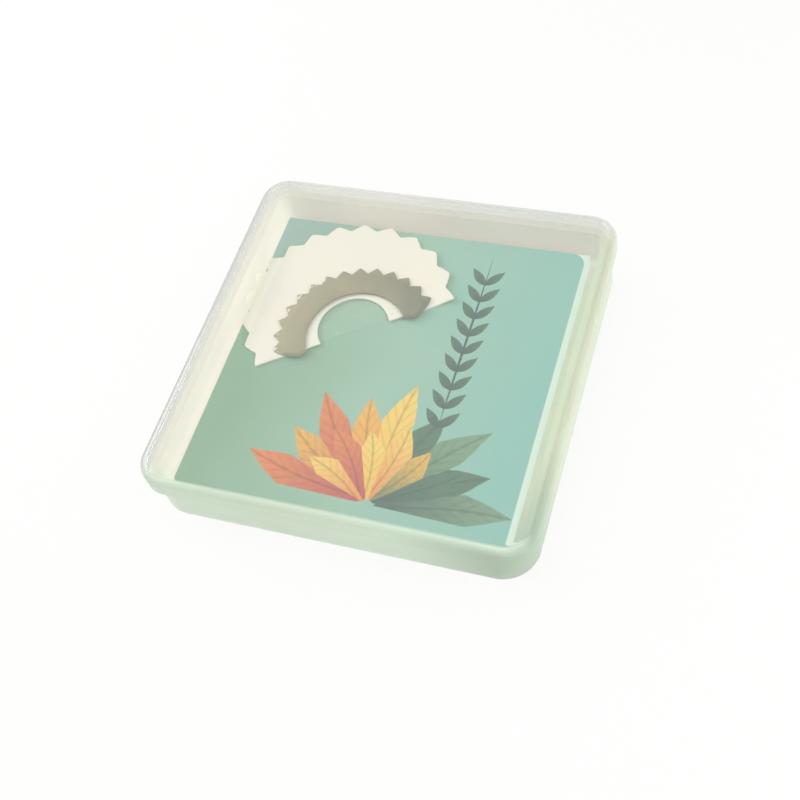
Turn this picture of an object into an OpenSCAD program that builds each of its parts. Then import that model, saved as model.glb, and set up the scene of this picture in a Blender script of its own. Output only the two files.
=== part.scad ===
// Bird call in its clear pocket case: a push-on lid over a shallow tray, with a folded
// leaflet on the tray's floor and the half-moon call lying loose on the leaflet.
// The origin is the middle of the case's underside. +Z is up, +Y is the back.

/* [Case] */
// Outside width of the lid, left to right
case_w = 60; // [58:0.5:90]
// Outside depth of the lid, front to back
case_d = 60; // [58:0.5:90]
// Height of the closed case
case_h = 10.8; // [9.5:0.1:16]

/* [Lid] */
// Wall of the lid's skirt
lid_wall = 1.0; // [0.8:0.1:1.4]
// Thickness of the lid's top plate
lid_top_t = 1.2; // [0.9:0.1:1.8]
// How far the lid's skirt reaches down from its top face
lid_skirt_h = 3.7; // [3:0.1:5]
// Radius of the lid's outside corners, seen from above
lid_corner_r = 4.6; // [3:0.1:8]
// Rounding of the lid's top edge
lid_edge_r = 1.4; // [0.6:0.1:1.6]

/* [Tray] */
// Gap between the lid's skirt and the tray's rim
lid_fit = 0.1; // [0.05:0.01:0.15]
// Wall of the tray's rim
rim_wall = 1.3; // [1:0.1:2]
// Height of the rim above the tray's shoulder
rim_h = 1; // [0.5:0.1:1.2]
// How much rounder the rim's corners are than the lid's inside ones
rim_ease = 0.5; // [0.2:0.1:0.8]
// Radius of the well's inside corners
well_corner_r = 1.7; // [1:0.1:2.4]
// How far the tray's outer wall stands inside the lid's
tray_inset = 0.6; // [0.3:0.1:0.9]
// Radius of the tray's outside corners below the rim
tray_corner_r = 5.4; // [4:0.1:9]
// Rounding of the tray's bottom edge
tray_edge_r = 1.0; // [0.5:0.1:1.5]
// Thickness of the tray's floor
floor_t = 1.3; // [1:0.1:2]
// Gap between the lid's lower edge and the tray's shoulder
seam_gap = 0.05; // [0.05:0.05:0.3]
// Width of the ring that the tray stands on
foot_w = 2.4; // [1.5:0.1:5]
// Height of that ring under the floor
foot_h = 0.25; // [0.1:0.05:0.4]

/* [Leaflet] */
// Room between the leaflet's corners and the well's
leaf_gap = 0.2; // [0.1:0.05:4]
// Strip of the tray's floor that the leaflet leaves bare along its right edge
leaf_bare = 1.5; // [0:0.1:4]
// Thickness of its paper
paper_t = 0.2; // [0.1:0.02:0.25]
// Number of panels, folded to and fro
leaf_panels = 4; // [2:1:5]
// Rise from one panel to the next
fold_pitch = 0.63; // [0.45:0.01:0.7]

/* [Call] */
// Centre of the call's ring, from the well's left wall
call_from_left = 20.3; // [20:0.1:20.6]
// Centre of the call's ring, from the well's back wall
call_from_back = 22.9; // [22.6:0.1:27]
// Turn of the call about its ring's centre
call_turn = 33.2; // [31:0.1:36]
// Radius of the skirt at the tips of its waves
skirt_r = 17.5; // [17.2:0.1:17.6]
// How far the skirt's outer curve is centred behind the ring's
skirt_shift = 6; // [5.7:0.1:6.2]
// Thickness of the skirt's sheet
skirt_t = 0.35; // [0.25:0.05:0.5]
// Depth of the waves cut into the skirt's edge
wave_depth = 1.05; // [0.6:0.05:1.8]
// Number of waves along that edge
wave_count = 14; // [10:1:18]
// How far the skirt's straight cut stands behind the ring's centre
cut_v = 0.7; // [0.4:0.05:0.9]
// Radius of the blowing hole in the skirt
hole_r = 6; // [5.5:0.05:6.3]
// How far that hole is centred behind the ring's centre
hole_shift = 1.8; // [1.4:0.1:2]
// Steepest slope of the skirt's left edge, where the case's wall bends it up
curl_angle = 57; // [45:1:70]
// Outside radius of the metal horseshoe
frame_out_r = 11.1; // [10.5:0.1:11.3]
// Width of its band
frame_w = 2.4; // [1.8:0.1:2.8]
// Thickness of its sheet metal
frame_t = 0.2; // [0.15:0.01:0.3]
// Angle by which each of its ends stops short of a half circle
frame_end = 3; // [2:0.5:4]
// Thickness of the film that sounds
film_t = 0.1; // [0.05:0.01:0.15]
// Edge of the film, behind the ring's centre
film_v = 1; // [0.9:0.05:1.2]
// Room between the film's rim and the fold of the horseshoe
film_gap = 0.1; // [0.05:0.05:0.2]
// How far the cover band reaches inside the horseshoe
cover_in = 0.7; // [0.2:0.1:1]
// How far its teeth reach outside the horseshoe
cover_out = 2.4; // [1.7:0.1:2.8]
// Thickness of the cover band
cover_t = 0.3; // [0.2:0.05:0.5]
// Depth of the teeth cut into the cover band's edge
tooth_depth = 1.2; // [0.5:0.05:1.3]
// Number of those teeth
tooth_count = 14; // [10:1:20]
// Angle between each end of the cover band and its first tooth
tooth_start = 4; // [3:0.5:6]
// How far the band's turned down ends bulge in front of the ring's centre
cover_end = 0.35; // [0.1:0.05:0.5]

/* [Hidden] */
$fn = 96;

// Overrun of every cut past the face that it goes through
over = 1;

// Heights of the case's seats
shoulder_z = case_h - lid_skirt_h - seam_gap;
rim_z = shoulder_z + rim_h;

// Plans of the case, from the outside in
tray_w = case_w - 2 * tray_inset;
tray_d = case_d - 2 * tray_inset;
bore_w = case_w - 2 * lid_wall;
bore_d = case_d - 2 * lid_wall;
rim_w = bore_w - 2 * lid_fit;
rim_d = bore_d - 2 * lid_fit;
well_w = rim_w - 2 * rim_wall;
well_d = rim_d - 2 * rim_wall;
bore_r = lid_corner_r - lid_wall;
rim_r = bore_r - lid_fit + rim_ease;
foot_in_w = tray_w - 2 * (tray_edge_r + foot_w);
foot_in_d = tray_d - 2 * (tray_edge_r + foot_w);

// Plan of the leaflet, whose square corners clear the well's round ones
leaf_room = well_corner_r * (1 - cos(45)) + leaf_gap;
leaf_w = well_w - 2 * leaf_room - leaf_bare;
leaf_d = well_d - 2 * leaf_room;

// Place of the call's ring and radii of what lies round it
call_x = call_from_left - well_w / 2;
call_y = well_d / 2 - call_from_back;
frame_in_r = frame_out_r - frame_w;
cover_in_r = frame_in_r - cover_in;
cover_out_r = frame_out_r + cover_out;

// Heights of the loose pieces, each resting on the one below
leaf_h = paper_t + (leaf_panels - 1) * fold_pitch;
call_z = floor_t + leaf_h;
frame_h = 2 * frame_t + film_t;

// Shape of the skirt's sheet
wave_steps = 8;
cut_angle = asin((skirt_shift - cut_v) / skirt_r);
// The skirt is wider than its place: what would reach past the wall goes up in a round bend
wall_room = 0.35;
wall_x = wall_room - well_w / 2;
flat_left = call_x - skirt_shift * sin(call_turn) - skirt_r;
curl_r = (wall_x - flat_left) / (curl_angle * PI / 180 - sin(curl_angle));
curl_x = wall_x + curl_r * sin(curl_angle);
// Slanted ends of the sheet beside the blowing hole, as shares of the hole's radius
tip_u_share = 1.05;
tip_v_share = 0.1;

// Section of the cover band, which is drawn down outside the horseshoe
drape_w = 0.6;
drape_gap = 0.1;
lip_w = 0.35;
lip_drop = 0.08;

// A disc whose top edge is rounded
module round_disc(r, h, e) {
    rotate_extrude() {
        square([r - e, h]);
        square([r, h - e]);
        intersection() {
            translate([r - e, h - e]) circle(e);
            square([r, h]);
        }
    }
}

// The section of a straight side whose two top edges are rounded
module round_section(w, h, e) {
    translate([-w / 2, 0]) square([w, h - e]);
    translate([e - w / 2, 0]) square([w - 2 * e, h]);
    for (side = [-1, 1])
        translate([side * (w / 2 - e), h - e]) circle(e);
}

// A slab with round corners in plan and a rounded top edge, standing on z = 0
module round_slab(w, d, h, r, e) {
    for (sx = [-1, 1], sy = [-1, 1])
        translate([sx * (w / 2 - r), sy * (d / 2 - r), 0]) round_disc(r, h, e);
    rotate([90, 0, 0]) linear_extrude(d - 2 * r, center = true) round_section(w, h, e);
    rotate([90, 0, 90]) linear_extrude(w - 2 * r, center = true) round_section(d, h, e);
}

// A plain slab with round corners in plan, standing on z = 0
module slab(w, d, h, r) {
    linear_extrude(h) {
        square([w, d - 2 * r], center = true);
        square([w - 2 * r, d], center = true);
        for (sx = [-1, 1], sy = [-1, 1])
            translate([sx * (w / 2 - r), sy * (d / 2 - r)]) circle(r);
    }
}

// The tray: a thick outer wall up to the shoulder, and a rim that the lid slides over
module case_tray() {
    color([0.86, 0.89, 0.84, 0.5])
    difference() {
        union() {
            translate([0, 0, shoulder_z]) mirror([0, 0, 1])
                round_slab(tray_w, tray_d, shoulder_z, tray_corner_r, tray_edge_r);
            translate([0, 0, floor_t])
                slab(rim_w, rim_d, rim_z - floor_t, rim_r);
        }
        translate([0, 0, floor_t]) slab(well_w, well_d, case_h, well_corner_r);
        translate([0, 0, -over]) slab(foot_in_w, foot_in_d, over + foot_h, well_corner_r);
    }
}

// The lid: a flat plate with a rounded edge and a short skirt outside the rim
module case_lid() {
    color([0.9, 0.92, 0.88, 0.4])
    translate([0, 0, case_h - lid_skirt_h])
    difference() {
        round_slab(case_w, case_d, lid_skirt_h, lid_corner_r, lid_edge_r);
        translate([0, 0, -over])
            slab(bore_w, bore_d, over + lid_skirt_h - lid_top_t, bore_r);
    }
}

// One fold of the leaflet, a half ring on the side that is named, 1 for right
module fold(side) {
    mid_r = fold_pitch / 2;
    intersection() {
        difference() {
            circle(mid_r + paper_t / 2);
            circle(mid_r - paper_t / 2);
        }
        translate([side > 0 ? 0 : -fold_pitch, -fold_pitch])
            square([fold_pitch, 2 * fold_pitch]);
    }
}

// The leaflet: one strip of paper folded to and fro, with its free edge up on the left
module leaflet() {
    bend_r = (fold_pitch + paper_t) / 2;
    color([0.66, 0.8, 0.72])
    translate([-leaf_bare / 2, 0, floor_t])
    rotate([90, 0, 0]) linear_extrude(leaf_d, center = true) {
        for (i = [0 : leaf_panels - 1]) {
            // The top panel folds on its right edge, and each one below on the other side
            right = (leaf_panels - 1 - i) % 2 == 0 ? bend_r : (i == 0 ? 0 : bend_r);
            left = i == leaf_panels - 1 ? 0 : bend_r;
            translate([left - leaf_w / 2, i * fold_pitch])
                square([leaf_w - left - right, paper_t]);
        }
        for (i = [0 : leaf_panels - 2]) {
            side = (leaf_panels - i) % 2 == 0 ? 1 : -1;
            translate([side * (leaf_w / 2 - bend_r), (i + 0.5) * fold_pitch + paper_t / 2])
                fold(side);
        }
    }
}

// Everything of the call is drawn about its ring's centre, with its straight cut along X
module place_call(z) {
    translate([call_x, call_y, call_z + z]) rotate(call_turn) children();
}

// Points along the skirt's waved edge while it is flat, from its right end round to its left
function wave_edge() = [
    for (i = [0 : wave_count * wave_steps])
        let (turn = i / (wave_count * wave_steps),
             a = -cut_angle + turn * (180 + 2 * cut_angle),
             r = skirt_r - wave_depth / 2 * (1 - cos(360 * turn * wave_count)))
        [r * cos(a), skirt_shift + r * sin(a)]
];

// A point of the call in the case's own plan
function in_case(p) = [
    call_x + p.x * cos(call_turn) - p.y * sin(call_turn),
    call_y + p.x * sin(call_turn) + p.y * cos(call_turn)
];

// Where a point of the flat sheet comes to lie in plan, once its edge is bent up
function bent(p) = [
    p.x > curl_x ? p.x : curl_x - curl_r * sin((curl_x - p.x) / curl_r * 180 / PI),
    p.y
];

// Outline of the skirt's sheet, with its blowing hole and slanted inner ends
module skirt_outline() {
    tip_u = hole_r * tip_u_share;
    tip_v = cut_v + hole_r * tip_v_share;
    difference() {
        polygon([for (p = wave_edge()) bent(in_case(p))]);
        translate([call_x, call_y]) rotate(call_turn) {
            translate([0, hole_shift]) circle(hole_r);
            polygon([[-cover_in_r, cut_v], [-tip_u, tip_v], [-hole_r, hole_shift],
                     [hole_r, hole_shift], [tip_u, tip_v], [cover_in_r, cut_v],
                     [cover_in_r, cut_v - over], [-cover_in_r, cut_v - over]]);
        }
    }
}

// Section of the skirt's sheet along X: flat on the leaflet, bent up at the case's wall
module skirt_section() {
    translate([curl_x, 0]) square([case_w, skirt_t]);
    translate([curl_x, curl_r]) intersection() {
        difference() {
            circle(curl_r);
            circle(curl_r - skirt_t);
        }
        translate([-curl_r, -curl_r]) square([curl_r, curl_r]);
    }
}

// The skirt: the broad white sheet that seals the call against the palate
module call_skirt() {
    color([0.94, 0.93, 0.88])
    translate([0, 0, call_z]) intersection() {
        translate([0, 0, -over]) linear_extrude(curl_r + 2 * over) skirt_outline();
        rotate([90, 0, 0]) linear_extrude(2 * case_d, center = true) skirt_section();
    }
}

// A section turned round the ring's centre, as far as the horseshoe goes
module half_turn() {
    rotate(frame_end) rotate_extrude(angle = 180 - 2 * frame_end) children();
}

// The metal horseshoe: sheet metal folded over at its outer edge, which grips the film
module call_frame() {
    color([0.75, 0.75, 0.76])
    place_call(skirt_t) half_turn() difference() {
        translate([frame_in_r, 0]) square([frame_out_r - frame_in_r, frame_h]);
        translate([frame_in_r - over, frame_t])
            square([over + frame_out_r - frame_t - frame_in_r, film_t]);
    }
}

// The film across the blowing hole, held all round in the fold of the horseshoe
module call_film() {
    color([0.9, 0.93, 0.9, 0.3])
    place_call(skirt_t + frame_t) linear_extrude(film_t) intersection() {
        circle(frame_out_r - frame_t - film_gap);
        translate([-frame_out_r, film_v]) square([2 * frame_out_r, frame_out_r]);
    }
}

// Outline of the cover band, toothed outside and bulging at its ends
module cover_outline() {
    mid_r = (cover_in_r + frame_out_r) / 2;
    polygon(concat(
        [[-mid_r, -cover_end], [-cover_in_r, 0], [cover_in_r, 0], [mid_r, -cover_end]],
        [for (i = [0 : 2 * tooth_count])
            let (r = cover_out_r - (i % 2 == 0 ? tooth_depth : 0),
                 a = tooth_start + (90 - tooth_start) * i / tooth_count)
            [r * cos(a), r * sin(a)]]));
}

// The cover band: a toothed half ring drawn down over the horseshoe on to the skirt, with its
// ends turned down in front of the horseshoe's
module call_cover() {
    top = frame_h + cover_t;
    drape_r = frame_out_r + drape_gap;
    color([0.68, 0.66, 0.6])
    place_call(skirt_t) intersection() {
        difference() {
            rotate_extrude() polygon([
                [cover_in_r, 0], [cover_out_r + over, 0],
                [cover_out_r + over, cover_t], [drape_r + drape_w + lip_w, cover_t],
                [drape_r + lip_w, top], [cover_in_r + lip_w, top],
                [cover_in_r, top - lip_drop]]);
            half_turn() polygon([
                [cover_in_r - over, -over], [drape_r + drape_w, -over],
                [drape_r + drape_w, 0], [drape_r, frame_h], [cover_in_r - over, frame_h]]);
        }
        translate([0, 0, -over]) linear_extrude(top + 2 * over) cover_outline();
    }
}

case_tray();
case_lid();
leaflet();
call_skirt();
call_frame();
call_film();
call_cover();
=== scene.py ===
"""The looks of a bird call in its clear pocket case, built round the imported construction."""

from math import asin, atan2, cos, pi, radians, sin, sqrt

import bmesh
import bpy
from mathutils import Matrix, Vector


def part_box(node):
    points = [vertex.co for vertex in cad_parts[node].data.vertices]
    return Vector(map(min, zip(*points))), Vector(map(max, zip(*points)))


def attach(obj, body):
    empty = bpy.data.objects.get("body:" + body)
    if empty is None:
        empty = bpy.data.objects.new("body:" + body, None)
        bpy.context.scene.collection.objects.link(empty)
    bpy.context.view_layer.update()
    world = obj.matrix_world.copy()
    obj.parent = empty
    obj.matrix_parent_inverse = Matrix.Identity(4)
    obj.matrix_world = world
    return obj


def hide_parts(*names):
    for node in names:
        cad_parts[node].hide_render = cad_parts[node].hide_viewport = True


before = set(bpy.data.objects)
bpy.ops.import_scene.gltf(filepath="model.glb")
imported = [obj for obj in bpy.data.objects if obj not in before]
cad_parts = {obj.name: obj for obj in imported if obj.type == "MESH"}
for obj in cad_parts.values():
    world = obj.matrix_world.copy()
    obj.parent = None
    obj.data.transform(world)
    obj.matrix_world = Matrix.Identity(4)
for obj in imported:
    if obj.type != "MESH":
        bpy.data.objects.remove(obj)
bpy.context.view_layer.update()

MM = 0.001

# The camera looks down on the case from the front and a third of the way round to its right, and
# leans on its own axis, so that the case seems to lean in the picture. It is set from its aim.
CAMERA_AIM = Vector((1.183, -2.088, -1.647)) * MM
CAMERA_DISTANCE = 189.05 * MM
CAMERA_AROUND = radians(31.017)
CAMERA_ABOVE = radians(55.535)
CAMERA_ROLL = radians(-16.64)
CAMERA_LENS = 53.97
CAMERA_SENSOR = 36
CAMERA_NEAR = 5 * MM

camera_turn = (
    Matrix.Rotation(CAMERA_AROUND, 4, "Z")
    @ Matrix.Rotation(pi / 2 - CAMERA_ABOVE, 4, "X")
    @ Matrix.Rotation(CAMERA_ROLL, 4, "Z")
)
camera_place = CAMERA_AIM + camera_turn.to_3x3().col[2] * CAMERA_DISTANCE
camera_data = bpy.data.cameras.new("camera")
camera_data.lens = CAMERA_LENS
camera_data.sensor_width = CAMERA_SENSOR
camera_data.clip_start = CAMERA_NEAR
camera = bpy.data.objects.new("camera", camera_data)
camera.matrix_world = Matrix.Translation(camera_place) @ camera_turn
bpy.context.scene.collection.objects.link(camera)
bpy.context.scene.camera = camera
bpy.context.scene.view_settings.view_transform = "Standard"


# The light is a broad soft lamp at the left, a second one high at the right and an even pale
# surround. The floor is plain white paper: what the camera sees of it is mostly white, with the
# object's shadow left in it.
WHITE = (1, 1, 1, 1)
WORLD_COLOUR = (1, 1, 0.985, 1)
WORLD_LIGHT = 0.66
LAMP_SIZE = 240 * MM
LAMPS = (
    ("soft lamp", 0.6, Vector((-320, 60, 180)) * MM),
    ("fill lamp", 0.45, Vector((270, -60, 240)) * MM))
FLOOR_SIZE = 4.0
FLOOR_COLOUR = (0.91, 0.95, 0.90, 1)
FLOOR_WHITE_SHARE = 0.78


def add(tree, kind, inputs=None, **settings):
    """A node of that kind, with its inputs set to values or linked to the sockets given."""
    made = tree.nodes.new("ShaderNode" + kind)
    for key, value in settings.items():
        setattr(made, key, value)
    for key, value in (inputs or {}).items():
        if isinstance(value, bpy.types.NodeSocket):
            tree.links.new(value, made.inputs[key])
        else:
            made.inputs[key].default_value = value
    return made


def maths(tree, operation, *values):
    """The result of a Math node."""
    return add(tree, "Math", dict(enumerate(values)), operation=operation).outputs[0]


def blended(tree, share, one, other):
    """One shader that goes over to the other as the share goes from 0 to 1."""
    return add(tree, "MixShader", {0: share, 1: one.outputs[0], 2: other.outputs[0]})


def seen_directly(tree):
    """1 for the rays by which the camera sees a thing itself, mirrored or through glass."""
    rays = add(tree, "LightPath").outputs
    mirrored = maths(tree, "MAXIMUM", rays["Is Camera Ray"], rays["Is Glossy Ray"])
    return maths(tree, "MAXIMUM", mirrored, rays["Is Transmission Ray"])


def emptied(owner):
    """The node tree of a material or world, with nothing in it."""
    owner.use_nodes = True
    owner.node_tree.nodes.clear()
    return owner.node_tree


world = bpy.data.worlds.new("surround")
bpy.context.scene.world = world
tree = emptied(world)
lighting = add(tree, "Background", {"Color": WORLD_COLOUR, "Strength": WORLD_LIGHT})
shown = add(tree, "Background", {"Color": WHITE, "Strength": 1})
both = blended(tree, seen_directly(tree), lighting, shown)
add(tree, "OutputWorld", {"Surface": both.outputs[0]})

for name, power, place in LAMPS:
    lamp_data = bpy.data.lights.new(name, "AREA")
    lamp_data.shape = "DISK"
    lamp_data.size = LAMP_SIZE
    lamp_data.energy = power
    lamp = bpy.data.objects.new(name, lamp_data)
    lamp.location = place
    lamp.rotation_euler = (-place).to_track_quat("-Z", "Y").to_euler()
    bpy.context.scene.collection.objects.link(lamp)

bpy.ops.object.select_all(action="DESELECT")
bpy.ops.mesh.primitive_plane_add(size=FLOOR_SIZE)
floor = bpy.context.object
floor.name = "floor"
floor.data.materials.append(bpy.data.materials.new("white paper floor"))
tree = emptied(floor.data.materials[0])
paper = add(tree, "BsdfDiffuse", {"Color": FLOOR_COLOUR})
shown = add(tree, "Emission", {"Color": WHITE, "Strength": 1})
both = blended(tree, maths(tree, "MULTIPLY", seen_directly(tree), FLOOR_WHITE_SHARE), paper, shown)
add(tree, "OutputMaterial", {"Surface": both.outputs[0]})


# The tray is one moulding of clear, slightly milky plastic: a thick outer wall up to a shoulder, a
# low thinner rim on it that the lid slides over, a square well, and a low ring to stand on. It is
# built from rounded blocks, added and cut away.
case_low, case_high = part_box("case_lid")
tray_low, tray_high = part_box("case_tray")
CASE_W = case_high.x - case_low.x
TRAY_W = tray_high.x - tray_low.x
SEAM_GAP = 0.05 * MM
SHOULDER_Z = case_low.z - SEAM_GAP
RIM_Z = tray_high.z
RIM_INSET = 1.1 * MM
RIM_T = 1.3 * MM
RIM_W = CASE_W - 2 * RIM_INSET
WELL_W = RIM_W - 2 * RIM_T
FLOOR_T = 1.3 * MM
TRAY_CORNER_R = 5.4 * MM
RIM_CORNER_R = 4.0 * MM
WELL_CORNER_R = 1.7 * MM
WELL_FILLET_R = 0.4 * MM
TRAY_EDGE_R = 1.0 * MM
TRAY_SOFT_R = 0.12 * MM
FOOT_INSET = 3.4 * MM
FOOT_IN_W = TRAY_W - 2 * FOOT_INSET
FOOT_H = 0.25 * MM
OVER = 1 * MM
HAIR = 0.01 * MM
CORNER_STEPS = 14
EDGE_STEPS = 6
SOFT_STEPS = 2
SHARP_ANGLE = radians(40)


def begin_piece():
    """Leaves edit mode and selects nothing, so that a new piece can be begun."""
    if bpy.context.object and bpy.context.object.mode == "EDIT":
        bpy.ops.object.mode_set(mode="OBJECT")
    bpy.ops.object.select_all(action="DESELECT")


def block(name, width, bottom, top):
    """A square block about the Z axis, from one height to the other, open in edit mode."""
    begin_piece()
    bpy.ops.mesh.primitive_cube_add(size=1, location=(0, 0, (bottom + top) / 2))
    made = bpy.context.object
    made.name = name
    made.scale = (width, width, top - bottom)
    bpy.ops.object.transform_apply(location=True, rotation=True, scale=True)
    bpy.ops.object.mode_set(mode="EDIT")
    return made


def is_upright(edge):
    """True for an edge that runs up the piece."""
    return abs((edge.verts[0].co - edge.verts[1].co).z) > 0.9 * edge.calc_length()


def lies_at(height):
    """A test for edges that lie at that height."""
    return lambda edge: all(abs(v.co.z - height) < HAIR for v in edge.verts)


def rounded(test, radius, steps):
    """Rounds the edges, of the piece in edit mode, that pass the test."""
    bpy.ops.mesh.select_mode(type="EDGE")
    bpy.ops.mesh.select_all(action="DESELECT")
    mesh = bpy.context.object.data
    shape = bmesh.from_edit_mesh(mesh)
    for edge in shape.edges:
        if test(edge):
            edge.select_set(True)
    shape.select_flush_mode()
    bmesh.update_edit_mesh(mesh)
    bpy.ops.mesh.bevel(offset=radius, segments=steps, profile=0.5, clamp_overlap=False)


def joined(piece, tool, operation):
    """The piece with the tool's solid added or cut away."""
    bpy.ops.object.mode_set(mode="OBJECT")
    modifier = piece.modifiers.new(operation.lower(), "BOOLEAN")
    modifier.operation = operation
    modifier.solver = "EXACT"
    modifier.object = tool
    bpy.context.view_layer.objects.active = piece
    bpy.ops.object.modifier_apply(modifier=modifier.name)
    bpy.data.objects.remove(tool)
    return piece


def moulded(piece, edge_radius):
    """The piece with its sharp edges broken and its shading carried by the flat faces."""
    bpy.context.view_layer.objects.active = piece
    soft = piece.modifiers.new("soft edges", "BEVEL")
    soft.limit_method = "ANGLE"
    soft.angle_limit = SHARP_ANGLE
    soft.width = edge_radius
    soft.segments = SOFT_STEPS
    bpy.ops.object.modifier_apply(modifier=soft.name)
    piece.data.shade_smooth()
    flats = piece.modifiers.new("flat faces", "WEIGHTED_NORMAL")
    flats.weight = 100
    bpy.ops.object.modifier_apply(modifier=flats.name)
    return piece


tray = block("tray", TRAY_W, 0, SHOULDER_Z)
rounded(is_upright, TRAY_CORNER_R, CORNER_STEPS)
rounded(lies_at(0), TRAY_EDGE_R, EDGE_STEPS)
rim = block("rim", RIM_W, SHOULDER_Z - OVER, RIM_Z)
rounded(is_upright, RIM_CORNER_R, CORNER_STEPS)
tray = joined(tray, rim, "UNION")
well = block("well", WELL_W, FLOOR_T, RIM_Z + OVER)
rounded(is_upright, WELL_CORNER_R, CORNER_STEPS)
rounded(lies_at(FLOOR_T), WELL_FILLET_R, EDGE_STEPS)
tray = joined(tray, well, "DIFFERENCE")
foot = block("foot recess", FOOT_IN_W, -OVER, FOOT_H)
rounded(is_upright, WELL_CORNER_R, CORNER_STEPS)
tray = joined(tray, foot, "DIFFERENCE")
tray = moulded(tray, TRAY_SOFT_R)


def colour(red, green, blue):
    """A colour given as it looks on a screen, as the numbers that a shader takes."""
    return tuple((c / 255 / 12.92) if c < 11 else ((c / 255 + 0.055) / 1.055) ** 2.4
                 for c in (red, green, blue)) + (1.0,)


def finish_begun(name):
    """A new material, its empty node tree, and the socket for the place on the piece."""
    made = bpy.data.materials.new(name)
    tree = emptied(made)
    return made, tree, add(tree, "TexCoord").outputs["Object"]


def noise(tree, place, scale, detail):
    """A cloudy value about a half, that varies with the place."""
    return add(tree, "TexNoise", {"Vector": place, "Scale": scale, "Detail": detail}).outputs["Fac"]


def ramped(tree, value, start, stop, low=0.0, high=1.0):
    """Goes from low to high as the value goes from start to stop, and no further."""
    return add(tree, "MapRange", {"Value": value, "From Min": start, "From Max": stop,
                                  "To Min": low, "To Max": high}).outputs[0]


def mixed(tree, share, one, other):
    """One colour that goes over to the other as the share goes from 0 to 1."""
    return add(tree, "Mix", {"Factor": share, 6: one, 7: other}, data_type="RGBA").outputs[2]


def tinted(tree, shade, strength):
    """A colour made stronger or weaker by a value."""
    return add(tree, "VectorMath", {0: shade, 1: strength}, operation="MULTIPLY").outputs[0]


def bumped(tree, height, strength, depth):
    """The direction that a face seems to look in, where a value raises it by up to the depth."""
    return add(tree, "Bump", {"Height": height, "Strength": strength, "Distance": depth}).outputs[0]


def distance(tree, across, along):
    """The distance that two values at right angles make together."""
    both = add(tree, "CombineXYZ", {0: across, 1: along}).outputs[0]
    return add(tree, "VectorMath", {0: both}, operation="LENGTH").outputs["Value"]


def lighting_rays(tree):
    """1 for the rays that carry light on to other things, which a clear piece lets pass."""
    rays = add(tree, "LightPath").outputs
    return maths(tree, "MAXIMUM", rays["Is Shadow Ray"], rays["Is Diffuse Ray"])


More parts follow.
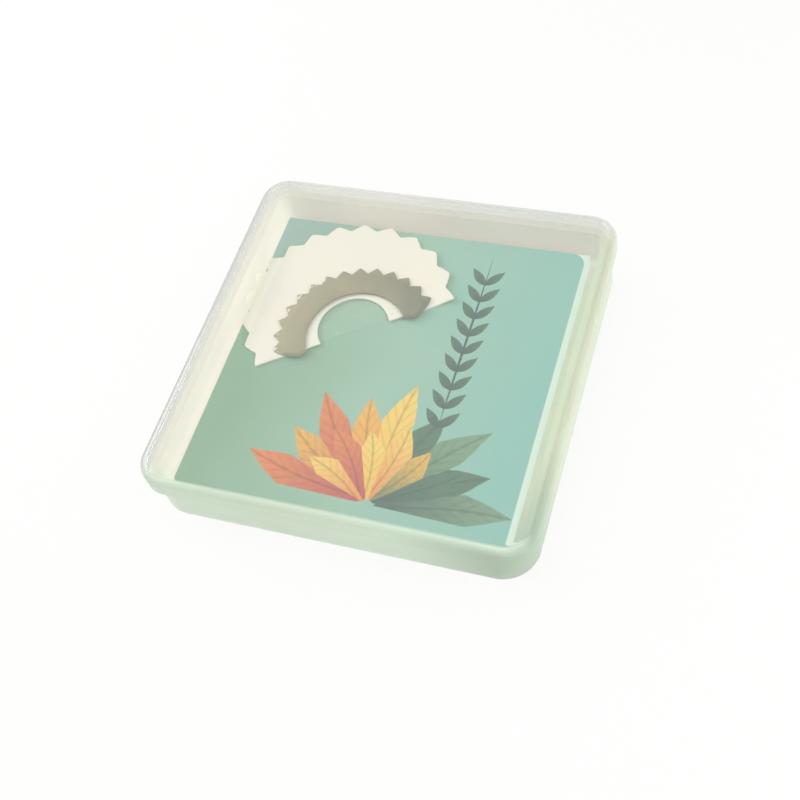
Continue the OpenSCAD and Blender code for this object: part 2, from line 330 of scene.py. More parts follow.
def clear_plastic(name, pane_tints, wall_milk_and_painted_light, window, scratches, lit_above=None):
    """Clear moulded plastic with fine scratches: clear over the window, and milky where the eye looks
    along its walls. The walls' tints, given for the right, front, back and left, are the milk with
    painted light in it: each side is lighter or darker, greener or creamier, as light and a painted
    reflection of the leaflet's green reach it. All go over to a greyer painted shade at the front
    right corner, where the plastic is thickest to look through. The front edge of the window has a
    painted highlight, whiter above the height lit_above, where its curve catches the light."""
    made, tree, place = finish_begun(name)
    axes = add(tree, "SeparateXYZ", {0: place}).outputs
    straight = window / 2 - WINDOW_CORNER_R
    past = [maths(tree, "MAXIMUM", maths(tree, "SUBTRACT", maths(tree, "ABSOLUTE", axis), straight), 0.0)
            for axis in axes[0:2]]
    reach = maths(tree, "ADD", straight, distance(tree, *past))
    wall = ramped(tree, reach, window / 2 - WINDOW_EDGE, window / 2 + WINDOW_EDGE)
    open_pane = maths(tree, "SUBTRACT", 1.0, wall)
    cloud = noise(tree, place, 70.0, 3.0)

    # Painted light: each wall's milky tint is made lighter or darker, greener or creamier, side by side, as
    # light and the leaflet's reflected green reach it.
    milk = wall_milk_and_painted_light[0]
    for axis, side, tint in ((1, -1, wall_milk_and_painted_light[1]), (1, 1, wall_milk_and_painted_light[2]), (0, -1, wall_milk_and_painted_light[3])):
        toward = maths(tree, "DIVIDE", maths(tree, "MULTIPLY", axes[axis], side), reach)
        milk = mixed(tree, ramped(tree, toward, 0.8, 1.0), milk, tint)
    # Painted shade: the tints go greyer towards the front right corner, where the plastic is thickest to
    # look through.
    corner_painted_shade = ramped(tree, maths(tree, "SUBTRACT", axes[0], axes[1]), CORNER_START, CORNER_FULL)
    milk = mixed(tree, corner_painted_shade, milk, CORNER_PAINTED_SHADE)
    lit = 0.0
    # Painted highlight: a whiter, less clear line along the front edge of the window, above lit_above.
    if lit_above:
        toward = maths(tree, "DIVIDE", maths(tree, "MULTIPLY", axes[1], -1.0), reach)
        line = ramped(tree, reach, window / 2 + LIT_LINE_W, window / 2 + LIT_FADE_W, 1.0, 0.0)
        lit = maths(tree, "MULTIPLY", maths(tree, "MULTIPLY", ramped(tree, toward, 0.9, 1.0), line),
                    maths(tree, "MULTIPLY", wall, maths(tree, "GREATER_THAN", axes[2], lit_above)))
        milk = mixed(tree, lit, milk, LIT_TINT)
    haze_and_painted_light = tinted(tree, milk, maths(tree, "MULTIPLY_ADD", cloud, 0.12, 0.94))
    shade = mixed(tree, wall, mixed(tree, cloud, *pane_tints), haze_and_painted_light)

    rough = maths(tree, "MULTIPLY_ADD", wall, WALL_ROUGH, maths(tree, "MULTIPLY", cloud, 0.05))
    for turn in scratches:
        lie = add(tree, "Mapping", {"Vector": place, "Rotation": (0, 0, radians(turn)),
                                    "Scale": (30, 1400, 30)}).outputs[0]
        fine = ramped(tree, noise(tree, lie, 1.0, 2.0), 0.7, 0.76, 0.0, 0.12)
        rough = maths(tree, "MULTIPLY_ADD", fine, open_pane, rough)
    clear = ramped(tree, wall, 0.0, 1.0, PANE_CLEAR, WALL_CLEAR)
    clear = maths(tree, "MULTIPLY_ADD", lit, -LIT_MILK, clear)
    height = maths(tree, "MULTIPLY", noise(tree, place, 140.0, 1.0), open_pane)
    plastic = add(tree, "BsdfPrincipled", {
        "Base Color": shade, "Roughness": rough, "IOR": PLASTIC_IOR,
        "Transmission Weight": clear, "Normal": bumped(tree, height, 0.04, PANE_DIMPLE)})
    glow = add(tree, "BsdfTranslucent", {"Color": haze_and_painted_light})
    milky = blended(tree, maths(tree, "MULTIPLY", wall, WALL_GLOW), plastic, glow)
    passed = add(tree, "BsdfTransparent", {"Color": PASSED_LIGHT})
    both = blended(tree, lighting_rays(tree), milky, passed)
    add(tree, "OutputMaterial", {"Surface": both.outputs[0]})
    return made


def dressed(piece, material):
    """The piece with that material alone."""
    piece.data.materials.clear()
    piece.data.materials.append(material)
    return piece


WINDOW_CORNER_R = 3.6 * MM
WINDOW_EDGE = 0.2 * MM
PANE_CLEAR = 0.97
PANE_DIMPLE = 0.3 * MM
PLASTIC_IOR = 1.49
PASSED_LIGHT = (0.97, 0.975, 0.965, 1)
WALL_CLEAR = 0.42
WALL_GLOW = 0.3
WALL_ROUGH = 0.2
CORNER_START, CORNER_FULL = 40 * MM, 54 * MM
# Painted shade at the front right corner of the walls.
CORNER_PAINTED_SHADE = colour(188, 204, 186)
# The painted highlight along the lid's front window edge: its tint, how much less clear it is, and its width
# and fade.
LIT_TINT = colour(236, 252, 232)
LIT_MILK = 0.33
LIT_LINE_W = 0.35 * MM
LIT_FADE_W = 1.2 * MM
TRAY_PANE_TINTS = colour(246, 246, 238), colour(251, 250, 244)
# The tray walls' tints for the right, front, back and left: milky plastic with painted light and painted
# reflection in them.
TRAY_WALL_MILK_AND_PAINTED_LIGHT = (
    colour(224, 235, 208), colour(227, 241, 223), colour(234, 229, 219), colour(248, 242, 232))
TRAY_SCRATCHES = 12, 70
MILKY_FLOOR_W = 2.4 * MM
TRAY_WINDOW = WELL_W - 2 * MILKY_FLOOR_W
tray_finish = clear_plastic(
    "milky clear tray plastic", TRAY_PANE_TINTS, TRAY_WALL_MILK_AND_PAINTED_LIGHT, TRAY_WINDOW, TRAY_SCRATCHES)
dressed(tray, tray_finish)
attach(tray, "tray")
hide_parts("case_tray")


# The lid is a second moulding of the same plastic: a flat plate with a well rounded edge and a
# short skirt that is pushed down over the tray's rim. Its top is scratched from use. It is one
# rounded block with a bore cut into it from below.
LID_BOTTOM_Z = case_low.z
LID_TOP_Z = case_high.z
LID_CORNER_R = 4.6 * MM
LID_EDGE_R = 1.4 * MM
LID_TOP_T = 1.2 * MM
LID_SKIRT_T = 1.0 * MM
LID_BORE_Z = LID_TOP_Z - LID_TOP_T
LID_BORE_W = CASE_W - 2 * LID_SKIRT_T
LID_BORE_CORNER_R = 3.6 * MM
LID_BORE_FILLET_R = 0.25 * MM
LID_SOFT_R = 0.15 * MM

lid = block("lid", CASE_W, LID_BOTTOM_Z, LID_TOP_Z)
rounded(is_upright, LID_CORNER_R, CORNER_STEPS)
rounded(lies_at(LID_TOP_Z), LID_EDGE_R, EDGE_STEPS)
bore = block("bore", LID_BORE_W, LID_BOTTOM_Z - OVER, LID_BORE_Z)
rounded(is_upright, LID_BORE_CORNER_R, CORNER_STEPS)
rounded(lies_at(LID_BORE_Z), LID_BORE_FILLET_R, EDGE_STEPS)
lid = joined(lid, bore, "DIFFERENCE")
lid = moulded(lid, LID_SOFT_R)

LID_PANE_TINTS = colour(252, 253, 250), colour(254, 254, 252)
# The lid walls' tints for the right, front, back and left: milky plastic with painted light and painted
# reflection in them.
LID_WALL_MILK_AND_PAINTED_LIGHT = (
    colour(225, 229, 206), colour(225, 239, 221), colour(248, 245, 244), colour(220, 218, 216))
LID_SCRATCHES = 8, 35, 97
lid_finish = clear_plastic(
    "clear lid plastic", LID_PANE_TINTS, LID_WALL_MILK_AND_PAINTED_LIGHT, LID_BORE_W, LID_SCRATCHES, LID_BORE_Z)
dressed(lid, lid_finish)
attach(lid, "lid")
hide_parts("case_lid")


# The leaflet is one strip of coated paper folded to and fro into a square. Its top is printed in
# soft teal with a fan of bright leaves and a slender twig, its right fold is pale mint, partly worn
# print and partly a painted highlight, and the rest is plain. It stays the construction's own
# solid, with this print laid on.
leaf_low, leaf_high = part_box("leaflet")
TEAL_LEFT = colour(130, 169, 140)
TEAL_MIDDLE = colour(155, 193, 174)
TEAL_RIGHT = colour(137, 193, 182)
TEAL_CORNER = colour(150, 182, 172)
TEAL_CORNER_START, TEAL_CORNER_FULL = 28 * MM, 50 * MM
# Pale mint of the right fold: worn print with a painted highlight.
FOLD_MINT_AND_HIGHLIGHT = colour(220, 240, 226)
FOLD_W = 0.6 * MM
FOLD_SIDE = 0.2 * MM
FIBRE_DEPTH = 0.05 * MM
PRINT_CORNER_R = 2.2 * MM
PRINT_EDGE_IN, PRINT_EDGE_OUT = 0.05 * MM, 0.1 * MM
TOP_PANEL_T = 0.3 * MM
PAPER = colour(243, 240, 228)
PAPER_PALE = colour(250, 247, 238)
CRIMSON = colour(184, 78, 82)
ORANGE = colour(232, 140, 78)
AMBER = colour(240, 188, 82)
YELLOW = colour(248, 214, 110)
SLATE = colour(58, 90, 84)
MOSS = colour(84, 126, 98)
SAGE = colour(128, 164, 134)


def printed_leaf():
    """A node group that prints one pointed leaf over a colour. Along runs from -1 at its foot to 1 at
    its tip, and Across from -1 to 1 between its sides. Bend curves it by that many half widths."""
    group = bpy.data.node_groups.new("printed leaf", "ShaderNodeTree")
    for name, kind in (("Under", "Color"), ("Along", "Float"), ("Across", "Float"),
                       ("Base", "Color"), ("Tip", "Color"), ("Bend", "Float")):
        group.interface.new_socket(name, in_out="INPUT", socket_type="NodeSocket" + kind)
    group.interface.new_socket("Color", in_out="OUTPUT", socket_type="NodeSocketColor")
    given = group.nodes.new("NodeGroupInput").outputs
    along = given["Along"]
    square = maths(group, "MULTIPLY", along, along)
    off = maths(group, "ABSOLUTE", maths(group, "MULTIPLY_ADD", square, given["Bend"], given["Across"]))
    lens = maths(group, "SUBTRACT", 1.0, square)
    broad = maths(group, "MAXIMUM", maths(group, "MULTIPLY_ADD", along, -0.28, 1.0), 0.1)
    full = maths(group, "MULTIPLY", lens, broad)
    spot = add(group, "CombineXYZ", {0: along, 1: given["Across"]}).outputs[0]
    grain = noise(group, spot, 6.0, 3.0)
    edge = maths(group, "SUBTRACT", maths(group, "MULTIPLY_ADD", grain, 0.12, full), off)
    inked = ramped(group, edge, 0.06, 0.12)
    blend = maths(group, "MULTIPLY_ADD", along, 0.5, maths(group, "MULTIPLY_ADD", grain, 0.7, 0.15))
    body = mixed(group, blend, given["Base"], given["Tip"])
    rib = ramped(group, off, 0.03, 0.09, 0.72, 1.0)
    slant = maths(group, "MULTIPLY_ADD", along, 26.0, maths(group, "MULTIPLY", off, -14.0))
    vein = ramped(group, maths(group, "SINE", slant), 0.55, 1.0, 1.0, 0.86)
    shaded = tinted(group, body, maths(group, "MULTIPLY", rib, vein))
    over = mixed(group, inked, given["Under"], shaded)
    out = group.nodes.new("NodeGroupOutput")
    group.links.new(over, out.inputs["Color"])
    return group


LEAF_GROUP = printed_leaf()


def print_leaves(tree, under, along, across, base, tip, bend):
    """Prints leaves over a colour, where the sockets along and across say, and gives the new colour."""
    return add(tree, "Group", {"Under": under, "Along": along, "Across": across, "Base": base,
                               "Tip": tip, "Bend": bend}, node_tree=LEAF_GROUP).outputs[0]


def left_out(tree, along, value, middle, reach):
    """Along, sent far off the leaf where the value is more than the reach from its middle."""
    off = maths(tree, "ABSOLUTE", maths(tree, "SUBTRACT", value, middle))
    return maths(tree, "ADD", along, maths(tree, "MULTIPLY", maths(tree, "GREATER_THAN", off, reach), 9.0))


def colour_steps(tree, factor, colours):
    """A ramp of equal plain steps through the colours."""
    ramp = add(tree, "ValToRGB", {"Fac": factor})
    ramp.color_ramp.interpolation = "CONSTANT"
    steps = ramp.color_ramp.elements
    while len(steps) < len(colours):
        steps.new(0.5)
    for i, shade in enumerate(colours):
        steps[i].position = i / len(colours)
        steps[i].color = shade
    return ramp.outputs["Color"]


def print_fan(tree, under, x, y, length, width, leaves, start, stop, bend):
    """Prints a fan of leaves that spread from a foot on the paper. Each has a colour for its base and
    one for its tip, and every other leaf is shorter."""
    across = maths(tree, "SUBTRACT", x, FAN_FOOT[0])
    up = maths(tree, "SUBTRACT", y, FAN_FOOT[1])
    step = radians(stop - start) / len(leaves)
    swing = maths(tree, "SUBTRACT", maths(tree, "ARCTAN2", up, across), radians(start))
    turn = maths(tree, "DIVIDE", swing, step)
    number = maths(tree, "FLOOR", turn)
    lean = maths(tree, "MULTIPLY", maths(tree, "SUBTRACT", maths(tree, "FRACT", turn), 0.5), step)
    reach = distance(tree, across, up)
    half = maths(tree, "MULTIPLY_ADD", maths(tree, "PINGPONG", number, 1.0), -0.07 * length, length / 2)
    forward = maths(tree, "MULTIPLY", reach, maths(tree, "COSINE", lean))
    along = maths(tree, "SUBTRACT", maths(tree, "DIVIDE", forward, half), 1.0)
    sideways = maths(tree, "MULTIPLY", reach, maths(tree, "SINE", lean))
    side = maths(tree, "DIVIDE", sideways, width / 2)
    share = maths(tree, "DIVIDE", maths(tree, "ADD", number, 0.5), float(len(leaves)))
    base = colour_steps(tree, share, [pair[0] for pair in leaves])
    tip = colour_steps(tree, share, [pair[1] for pair in leaves])
    return print_leaves(tree, under, left_out(tree, along, share, 0.5, 0.5), side, base, tip, bend)


# Lengths and places of the print are in millimetres, and angles in degrees.
FAN_FOOT = (3.5, -23.5)
BACK_FAN = {"length": 21.5, "width": 6.6, "start": -2, "stop": 178, "bend": 0.3, "leaves": (
    (SLATE, SAGE), (SLATE, MOSS), (MOSS, SAGE), (SLATE, MOSS), (AMBER, YELLOW),
    (ORANGE, AMBER), (CRIMSON, ORANGE), (CRIMSON, AMBER), (CRIMSON, ORANGE))}
FRONT_FAN = {"length": 14.5, "width": 5.6, "start": 16, "stop": 160, "bend": -0.3, "leaves": (
    (SLATE, MOSS), (MOSS, AMBER), (ORANGE, YELLOW), (AMBER, YELLOW), (CRIMSON, ORANGE), (ORANGE, YELLOW))}
TWIG_X, TWIG_FOOT_Y, TWIG_PITCH, TWIG_PAIRS = 10.2, -9.0, 3.4, 9
TWIG_STEM_W = 0.2
TWIG_LEAF_LENGTH, TWIG_LEAF_WIDTH, TWIG_LEAF_LEAN = 4.2, 1.5, radians(50)


def print_twig(tree, under, x, y):
    """Prints an upright twig with a stem and pairs of leaves."""
    beside = maths(tree, "ABSOLUTE", maths(tree, "SUBTRACT", x, TWIG_X))
    rise = maths(tree, "DIVIDE", maths(tree, "SUBTRACT", y, TWIG_FOOT_Y), TWIG_PITCH)
    half = TWIG_PITCH * (TWIG_PAIRS + 1) / 2
    stem = maths(tree, "DIVIDE", maths(tree, "SUBTRACT", y, TWIG_FOOT_Y + half), half)
    ink = print_leaves(tree, under, stem, maths(tree, "DIVIDE", beside, TWIG_STEM_W), SLATE, SLATE, 0.0)
    above = maths(tree, "MULTIPLY", maths(tree, "FRACT", rise), TWIG_PITCH)
    lead, drift = cos(TWIG_LEAF_LEAN), sin(TWIG_LEAF_LEAN)
    along = maths(tree, "ADD", maths(tree, "MULTIPLY", beside, lead), maths(tree, "MULTIPLY", above, drift))
    side = maths(tree, "MULTIPLY_ADD", above, lead, maths(tree, "MULTIPLY", beside, -drift))
    along = maths(tree, "SUBTRACT", maths(tree, "DIVIDE", along, TWIG_LEAF_LENGTH / 2), 1.0)
    along = left_out(tree, along, rise, TWIG_PAIRS / 2, TWIG_PAIRS / 2)
    return print_leaves(tree, ink, along, maths(tree, "DIVIDE", side, TWIG_LEAF_WIDTH / 2), SLATE, MOSS, 0.0)


def coated_leaflet():
    """Coated paper, printed on the face that looks up, pale mint round its right fold as wear and a
    painted highlight, and plain elsewhere.
    """
    made, tree, place = finish_begun("printed coated paper")
    axes = add(tree, "SeparateXYZ", {0: place}).outputs
    x = maths(tree, "DIVIDE", axes[0], MM)
    y = maths(tree, "DIVIDE", axes[1], MM)
    across = ramped(tree, axes[0], leaf_low.x, leaf_high.x)
    drift = maths(tree, "MULTIPLY_ADD", noise(tree, place, 60.0, 2.0), 0.4, -0.2)
    ramp = add(tree, "ValToRGB", {"Fac": maths(tree, "ADD", across, drift)})
    ramp.color_ramp.elements.new(0.5)
    for i, shade in enumerate((TEAL_LEFT, TEAL_MIDDLE, TEAL_RIGHT)):
        ramp.color_ramp.elements[i].color = shade
    far = ramped(tree, maths(tree, "SUBTRACT", axes[1], axes[0]), TEAL_CORNER_START, TEAL_CORNER_FULL)
    ink = mixed(tree, far, ramp.outputs["Color"], TEAL_CORNER)
    ink = print_fan(tree, ink, x, y, **BACK_FAN)
    ink = print_fan(tree, ink, x, y, **FRONT_FAN)
    ink = print_twig(tree, ink, x, y)

    # Pale mint along the right fold: partly worn print, partly a painted highlight on the fold's curve.
    right = maths(tree, "SUBTRACT", axes[0], leaf_high.x - FOLD_W - PRINT_CORNER_R)
    front = maths(tree, "SUBTRACT", maths(tree, "ABSOLUTE", axes[1]), leaf_high.y - PRINT_CORNER_R)
    reach = distance(tree, maths(tree, "MAXIMUM", right, 0.0), maths(tree, "MAXIMUM", front, 0.0))
    fold_wear_and_highlight = ramped(tree, reach, PRINT_CORNER_R - PRINT_EDGE_IN, PRINT_CORNER_R + PRINT_EDGE_OUT)
    ink = mixed(tree, fold_wear_and_highlight, ink, FOLD_MINT_AND_HIGHLIGHT)

    fibre = noise(tree, place, 900.0, 3.0)
    # The fold's side is the same mint, partly a painted highlight.
    fold = maths(tree, "GREATER_THAN", axes[0], leaf_high.x - FOLD_SIDE)
    plain = mixed(tree, fold, mixed(tree, fibre, PAPER, PAPER_PALE), FOLD_MINT_AND_HIGHLIGHT)
    up = add(tree, "SeparateXYZ", {0: add(tree, "NewGeometry").outputs["Normal"]}).outputs[2]
    top = maths(tree, "MULTIPLY", maths(tree, "GREATER_THAN", up, 0.5),
                maths(tree, "GREATER_THAN", axes[2], leaf_high.z - TOP_PANEL_T))
    coat = add(tree, "BsdfPrincipled", {
        "Base Color": mixed(tree, top, plain, ink), "Roughness": 0.42, "Specular IOR Level": 0.4,
        "Normal": bumped(tree, fibre, 0.08, FIBRE_DEPTH)})
    add(tree, "OutputMaterial", {"Surface": coat.outputs[0]})
    return made


def finished(node, material):
    """Gives a material to one of the construction's own solids, which stays as it is."""
    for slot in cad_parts[node].material_slots:
        slot.material = material


finished("leaflet", coated_leaflet())


# The call's skirt is a stiff white coated sheet with a waved edge, that seals the call against the
# palate. It lies on the leaflet, lifts a little at the right, and is bent up by the case's wall at
# the left. It is a flat half ring between two arcs, waved, bent and then thickened.
CALL_X, CALL_Y = -7.3 * MM, 4.7 * MM
CALL_TURN = radians(33.2)
CALL_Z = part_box("call_skirt")[0].z
SKIRT_R = 17.5 * MM
SKIRT_SHIFT = 6.0 * MM
SKIRT_T = 0.35 * MM
SKIRT_SOFT_R = 0.05 * MM
SKIRT_CUT_V = 0.7 * MM
SKIRT_RINGS = 28
WAVE_DEPTH = 1.2 * MM
WAVE_COUNT = 14
WAVE_STEPS = 12
WAVE_LAG, WAVE_LAG_TWICE = radians(5.0), radians(1.2)
HOLE_R = 5.8 * MM
HOLE_SHIFT = 1.75 * MM
LIFT = 0.17 * MM
LIFT_R = 8.65 * MM
LIFT_W = 0.8 * MM
EDGE_LIFT = 0.4 * MM
EDGE_LIFT_R = 13.6 * MM
EDGE_LIFT_W = 3 * MM
CURL_ANGLE = radians(57)
CURL_WALL_GAP = 0.35 * MM
CURL_WALL_X = CURL_WALL_GAP - WELL_W / 2
CURL_R = ((CURL_WALL_X - CALL_X + SKIRT_SHIFT * sin(CALL_TURN) + SKIRT_R)
          / (CURL_ANGLE - sin(CURL_ANGLE)))
CURL_X = CURL_WALL_X + CURL_R * sin(CURL_ANGLE)
SHEET_CREAM = colour(246, 241, 222)
SHEET_PINK = colour(243, 236, 230)
# Painted light: the white laid on the sheet where it rises and round its hole.
SHEET_PAINTED_LIGHT = colour(255, 252, 238)
SHEET_GLOW = colour(255, 252, 244)
SHEET_GRAIN = 0.04 * MM
GLOW_RISE = 0.9 * MM
GLOW_SHARE = 0.6
# How much painted light is laid round the hole, within RING_R and fading out by RING_FADE_R.
RING_PAINTED_LIGHT_SHARE = 0.3
RING_R, RING_FADE_R = 8.2 * MM, 8.6 * MM


def arc(shift, radius, start, sweep, steps):
    """Adds an arc of edges to the piece in edit mode, about a point behind the ring's centre."""
    mesh = bpy.context.object.data
    bpy.ops.mesh.select_all(action="DESELECT")
    shape = bmesh.from_edit_mesh(mesh)
    first = shape.verts.new((radius * cos(start), shift + radius * sin(start), 0))
    first.select_set(True)
    bmesh.update_edit_mesh(mesh)
    bpy.ops.mesh.spin(steps=steps, angle=sweep, center=(0, shift, 0), axis=(0, 0, -1))


def half_ring(name, inner, outer, steps, cuts):
    """A flat sheet between two arcs, each given by its shift, radius, start and sweep."""
    begin_piece()
    bpy.ops.mesh.primitive_plane_add(size=MM)
    made = bpy.context.object
    made.name = name
    bpy.ops.object.mode_set(mode="EDIT")
    bpy.ops.mesh.delete(type="VERT")
    bpy.ops.mesh.select_mode(type="VERT")
    arc(*inner, steps)
    arc(*outer, steps)
    bpy.ops.mesh.select_all(action="SELECT")
    bpy.ops.mesh.bridge_edge_loops(number_cuts=cuts, interpolation="LINEAR")
    bpy.ops.mesh.normals_make_consistent(inside=False)
    bpy.ops.object.mode_set(mode="OBJECT")
    return made


def thickened(piece, thickness, edge_radius):
    """The sheet with its thickness below it, and with soft edges."""
    if sum(face.normal.z for face in piece.data.polygons) < 0:
        piece.data.flip_normals()
    wall = piece.modifiers.new("sheet", "SOLIDIFY")
    wall.thickness = thickness
    wall.offset = -1
    bpy.context.view_layer.objects.active = piece
    bpy.ops.object.modifier_apply(modifier=wall.name)
    return moulded(piece, edge_radius)


def laid_on_leaflet(piece, height):
    """The piece of the call, drawn about its ring's centre, put in its place in the case."""
    piece.location = (CALL_X, CALL_Y, CALL_Z + height)
    piece.rotation_euler = (0, 0, CALL_TURN)
    bpy.ops.object.select_all(action="DESELECT")
    piece.select_set(True)
    bpy.context.view_layer.objects.active = piece
    bpy.ops.object.transform_apply(location=True, rotation=True, scale=True)
    return piece


def along_arc(spot, shift, start, sweep):
    """How far round an arc a point lies, from 0 at its start to 1 at its end."""
    turn = atan2(spot.y - shift, spot.x)
    if turn < start - 0.5:
        turn += 2 * pi
    return (turn - start) / sweep


def eased(share):
    """A share from 0 to 1, made to start and end gently."""
    share = max(0.0, min(share, 1.0))
    return share * share * (3 - 2 * share)


def wave(turn):
    """Height of the waved edge, 1 at a wave's tip and 0 between two. The waves are stamped a little
    unevenly, wider apart towards the right."""
    lag = (WAVE_LAG * sin(pi * turn) + WAVE_LAG_TWICE * sin(2 * pi * turn)) / SKIRT_SWEEP
    phase = 2 * pi * WAVE_COUNT * (turn - lag)
    return 0.5 + 0.45 * (cos(phase) + cos(3 * phase) / 9)


CUT_ANGLE = asin((SKIRT_SHIFT - SKIRT_CUT_V) / SKIRT_R)
SKIRT_SWEEP = pi + 2 * CUT_ANGLE
HOLE_START = -asin((HOLE_SHIFT - SKIRT_CUT_V) / HOLE_R)
skirt = half_ring("skirt", (HOLE_SHIFT, HOLE_R, HOLE_START, pi - 2 * HOLE_START),
                  (SKIRT_SHIFT, SKIRT_R, -CUT_ANGLE, SKIRT_SWEEP), WAVE_COUNT * WAVE_STEPS, SKIRT_RINGS)
for vertex in skirt.data.vertices:
    centre = Vector((0, SKIRT_SHIFT, 0))
    turn = along_arc(vertex.co, SKIRT_SHIFT, -CUT_ANGLE, SKIRT_SWEEP)
    inside = (vertex.co.xy - Vector((0, HOLE_SHIFT))).length - HOLE_R
    outside = SKIRT_R - (vertex.co - centre).length
    pull = (inside / (inside + outside)) ** 4
    vertex.co += (centre - vertex.co).normalized() * WAVE_DEPTH * (1 - wave(turn)) * pull
    vertex.co.z = LIFT * eased((LIFT_R - vertex.co.xy.length) / LIFT_W)
laid_on_leaflet(skirt, SKIRT_T)
for vertex in skirt.data.vertices:
    across = vertex.co.xy - Vector((CALL_X, CALL_Y))
    outward = eased((across.length - EDGE_LIFT_R) / EDGE_LIFT_W)
    vertex.co.z += EDGE_LIFT * outward * eased(across.x / EDGE_LIFT_R)
    turn = (CURL_X - vertex.co.x) / CURL_R
    if turn > 0:
        vertex.co.x = CURL_X - (CURL_R - SKIRT_T) * sin(turn)
        vertex.co.z = CALL_Z + CURL_R - (CURL_R - SKIRT_T) * cos(turn)
thickened(skirt, SKIRT_T, SKIRT_SOFT_R)


def from_call(tree, place):
    """How far a place lies from the centre of the call's ring, seen from above."""
    flat = tinted(tree, place, (1, 1, 0))
    return add(tree, "VectorMath", {0: flat, 1: (CALL_X, CALL_Y, 0)}, operation="DISTANCE").outputs["Value"]


def coated_sheet():
    """Stiff white coated sheet: satin, with a cream and pink cast that drifts over it. It is painted
    whiter round its hole and where it is bent up, as painted light on parts that lie in shade, and
    light shines through it where it stands free."""
    made, tree, place = finish_begun("white coated sheet")
    cast = mixed(tree, noise(tree, place, 130.0, 2.0), SHEET_CREAM, SHEET_PINK)
    rise = maths(tree, "SUBTRACT", add(tree, "SeparateXYZ", {0: place}).outputs[2], CALL_Z)
    # Painted light: whiter where the sheet rises, most where it stands up at the left facing away from the
    # lamp, and round its hole in the shade of the cover and film.
    bent = ramped(tree, rise, 2 * SKIRT_T, 3 * SKIRT_T)
    ring = ramped(tree, from_call(tree, place), RING_R, RING_FADE_R, RING_PAINTED_LIGHT_SHARE, 0.0)
    sheet = mixed(tree, maths(tree, "MAXIMUM", bent, ring), cast, SHEET_PAINTED_LIGHT)
    grain = bumped(tree, noise(tree, place, 1500.0, 3.0), 0.12, SHEET_GRAIN)
    coat = add(tree, "BsdfPrincipled", {"Base Color": sheet, "Roughness": 0.5, "Normal": grain})
    glow = add(tree, "BsdfTranslucent", {"Color": SHEET_GLOW})
    free = ramped(tree, rise, GLOW_RISE, 2 * GLOW_RISE, 0.0, GLOW_SHARE)
    both = blended(tree, free, coat, glow)
    add(tree, "OutputMaterial", {"Surface": both.outputs[0]})
    return made


dressed(skirt, coated_sheet())
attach(skirt, "call")
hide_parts("call_skirt")


# The horseshoe is thin aluminium strip folded over along its outer edge, so that its two leaves
# grip the film all round. Only its edge shows, between the cover band and the skirt, and it stays
# the construction's own solid.
STRIP_DULL = colour(196, 198, 200)
STRIP_BRIGHT = colour(226, 227, 228)
BRUSH_DEPTH = 0.02 * MM


def rolled_aluminium():
    """Rolled aluminium strip, brushed along its length, a little tarnished."""
    made, tree, place = finish_begun("rolled aluminium strip")
    lie = add(tree, "Mapping", {"Vector": place, "Scale": (300, 2600, 300)}).outputs[0]
    brush = noise(tree, lie, 1.0, 3.0)
    metal = add(tree, "BsdfPrincipled", {
        "Base Color": mixed(tree, brush, STRIP_DULL, STRIP_BRIGHT), "Metallic": 1.0,
        "Roughness": ramped(tree, brush, 0.0, 1.0, 0.26, 0.42),
        "Normal": bumped(tree, brush, 0.1, BRUSH_DEPTH)})
    add(tree, "OutputMaterial", {"Surface": metal.outputs[0]})
    return made


finished("call_frame", rolled_aluminium())


# The film is a half disc of thin clear plastic, stretched over the blowing hole and held in the
# fold of the horseshoe. Its straight front edge is free, and that is what sounds. It stays the
# construction's own solid.
FILM_TINT = (0.99, 0.995, 0.99, 1)
FILM_DUST = colour(246, 248, 240)
FILM_GLINT_LEAST, FILM_GLINT_MORE = 0.012, 0.4
FILM_RIPPLE = 0.1 * MM


def clear_film():
    """Thin clear film with slight stretch marks, which shows by its glints more than its colour."""
    made, tree, place = finish_begun("thin clear film")
    lie = add(tree, "Mapping", {"Vector": place, "Rotation": (0, 0, -CALL_TURN), "Scale": (60, 420, 60)})
    ripple = bumped(tree, noise(tree, lie.outputs[0], 1.0, 2.0), 0.25, FILM_RIPPLE)
    dust = ramped(tree, noise(tree, place, 2300.0, 2.0), 0.68, 0.72, 0.02, 0.7)
    see = add(tree, "BsdfTransparent", {"Color": FILM_TINT})
    milk = add(tree, "BsdfDiffuse", {"Color": FILM_DUST})
    shine = add(tree, "BsdfGlossy", {"Color": WHITE, "Roughness": 0.09, "Normal": ripple})
    facing = add(tree, "LayerWeight", {"Blend": 0.5, "Normal": ripple}).outputs["Facing"]
    slant = maths(tree, "POWER", facing, 5.0)
    glint = maths(tree, "MULTIPLY_ADD", slant, FILM_GLINT_MORE, FILM_GLINT_LEAST)
    gloss = blended(tree, glint, blended(tree, dust, see, milk), shine)
    both = blended(tree, lighting_rays(tree), gloss, see)
    add(tree, "OutputMaterial", {"Surface": both.outputs[0]})
    return made


finished("call_film", clear_film())


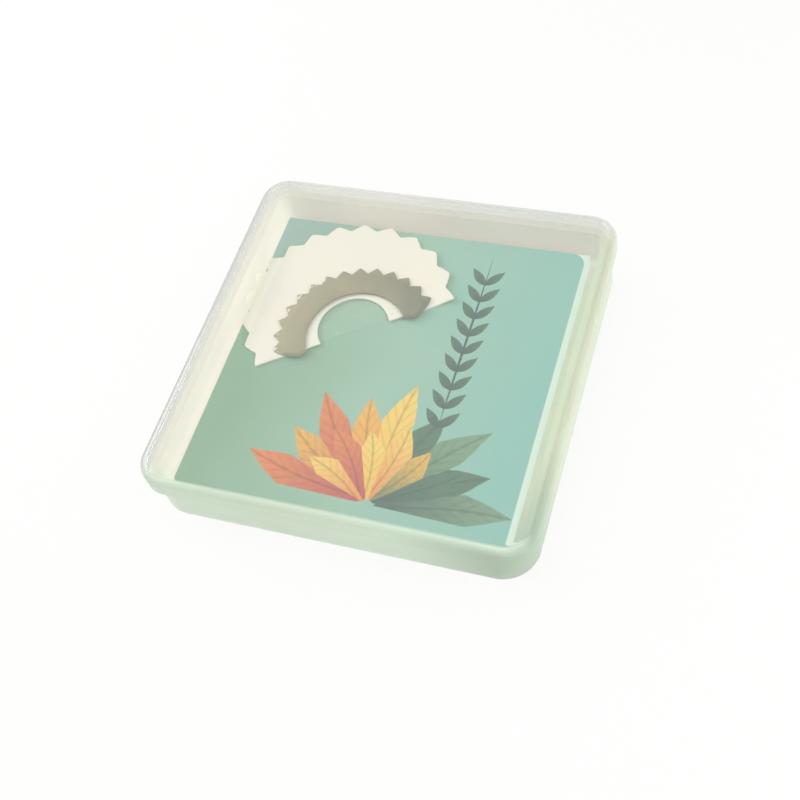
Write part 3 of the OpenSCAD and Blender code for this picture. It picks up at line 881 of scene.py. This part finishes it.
# The cover is a half ring of thin soft leather, cut with teeth along its outer edge, glued over the
# horseshoe and pressed down on to the skirt all round it. It is made flat between two arcs, then
# notched, drawn down, turned in at its ends and thickened.
COVER_IN_R = 8.15 * MM
COVER_OUT_R = 13.5 * MM
COVER_T = 0.3 * MM
COVER_SOFT_R = 0.03 * MM
COVER_MID_R = 9.55 * MM
COVER_BULGE = 0.35 * MM
COVER_FOLD = 0.35 * MM
COVER_RINGS = 16
TOOTH_DEPTH = 1.2 * MM
TOOTH_COUNT = 14
TOOTH_START = radians(4)
TOOTH_STEPS = 10
LAST_TOOTH_SHARE = 1.2
HORSESHOE_H = 0.5 * MM
DROP_FROM_R = 11.2 * MM
DROP_TO_R = 12.5 * MM
LIP_DROP = 0.2 * MM
LIP_W = 0.65 * MM
LEATHER_WARM = colour(172, 164, 136)
LEATHER_COOL = colour(114, 119, 101)
LEATHER_STAIN = colour(178, 168, 134)
LEATHER_CHIP = colour(236, 232, 218)
PORE_DEPTH = 0.04 * MM
CHIP_W = 0.7 * TOOTH_DEPTH
CHIP_LEFT = 8.5 * MM


def cover_height(radius):
    """Height of the cover's face above the skirt: level over the horseshoe, down on to the film
    inside it and on to the skirt outside it."""
    lip = LIP_DROP * (1 - eased((radius - COVER_IN_R) / LIP_W))
    drop = HORSESHOE_H * eased((radius - DROP_FROM_R) / (DROP_TO_R - DROP_FROM_R))
    return HORSESHOE_H + COVER_T - lip - drop


def cover_end(radius):
    """The angle at which the cover ends: its folded ends bulge forward in the middle."""
    if radius < COVER_MID_R:
        return -COVER_BULGE / COVER_MID_R * eased((radius - COVER_IN_R) / (COVER_MID_R - COVER_IN_R))
    share = eased((radius - COVER_MID_R) / (COVER_OUT_R - TOOTH_DEPTH - COVER_MID_R))
    return (1 - share) * -COVER_BULGE / COVER_MID_R + share * TOOTH_START


cover = half_ring("cover_band", (0, COVER_IN_R, 0, pi), (0, COVER_OUT_R, 0, pi),
                  2 * TOOTH_COUNT * TOOTH_STEPS, COVER_RINGS)
for vertex in cover.data.vertices:
    radius = vertex.co.xy.length
    turn = along_arc(vertex.co, 0, 0, pi)
    notch = abs((2 * TOOTH_COUNT * turn + 1) % 2 - 1)
    pull = ((radius - COVER_IN_R) / (COVER_OUT_R - COVER_IN_R)) ** 3
    last = LAST_TOOTH_SHARE if min(turn, 1 - turn) < 0.5 / TOOTH_COUNT else 1
    radius -= TOOTH_DEPTH * last * (1 - notch) * pull
    end = cover_end(radius)
    angle = end + (pi - 2 * end) * turn
    along = radius * (pi - 2 * end) * max(0.0, min(turn, 1 - turn)) / COVER_FOLD
    fold = sqrt(1 - max(0.0, 1 - along) ** 2)
    vertex.co = (radius * cos(angle), radius * sin(angle), cover_height(radius) * fold)
laid_on_leaflet(cover, SKIRT_T)
thickened(cover, COVER_T, COVER_SOFT_R)


def soft_leather():
    """Thin matt leather, taupe, with a fine grain, yellowed patches, and pale chips in the teeth at
    its left."""
    made, tree, place = finish_begun("thin taupe leather")
    x = add(tree, "SeparateXYZ", {0: place}).outputs[0]
    cool = ramped(tree, x, CALL_X - COVER_OUT_R, CALL_X + COVER_OUT_R)
    stain = ramped(tree, noise(tree, place, 210.0, 3.0), 0.45, 0.7, 0.0, 0.5)
    aged = mixed(tree, stain, mixed(tree, cool, LEATHER_WARM, LEATHER_COOL), LEATHER_STAIN)
    outer = maths(tree, "GREATER_THAN", from_call(tree, place), COVER_OUT_R - CHIP_W)
    left = maths(tree, "LESS_THAN", x, CALL_X - CHIP_LEFT)
    flaked = maths(tree, "GREATER_THAN", noise(tree, place, 1500.0, 1.0), 0.56)
    chip = maths(tree, "MULTIPLY", flaked, maths(tree, "MULTIPLY", outer, left))
    pores = add(tree, "TexVoronoi", {"Vector": place, "Scale": 2600.0}).outputs["Distance"]
    leather = add(tree, "BsdfPrincipled", {
        "Base Color": mixed(tree, chip, aged, LEATHER_CHIP), "Roughness": 0.72,
        "Specular IOR Level": 0.3, "Normal": bumped(tree, pores, 0.2, PORE_DEPTH)})
    add(tree, "OutputMaterial", {"Surface": leather.outputs[0]})
    return made


dressed(cover, soft_leather())
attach(cover, "call")
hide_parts("call_cover")
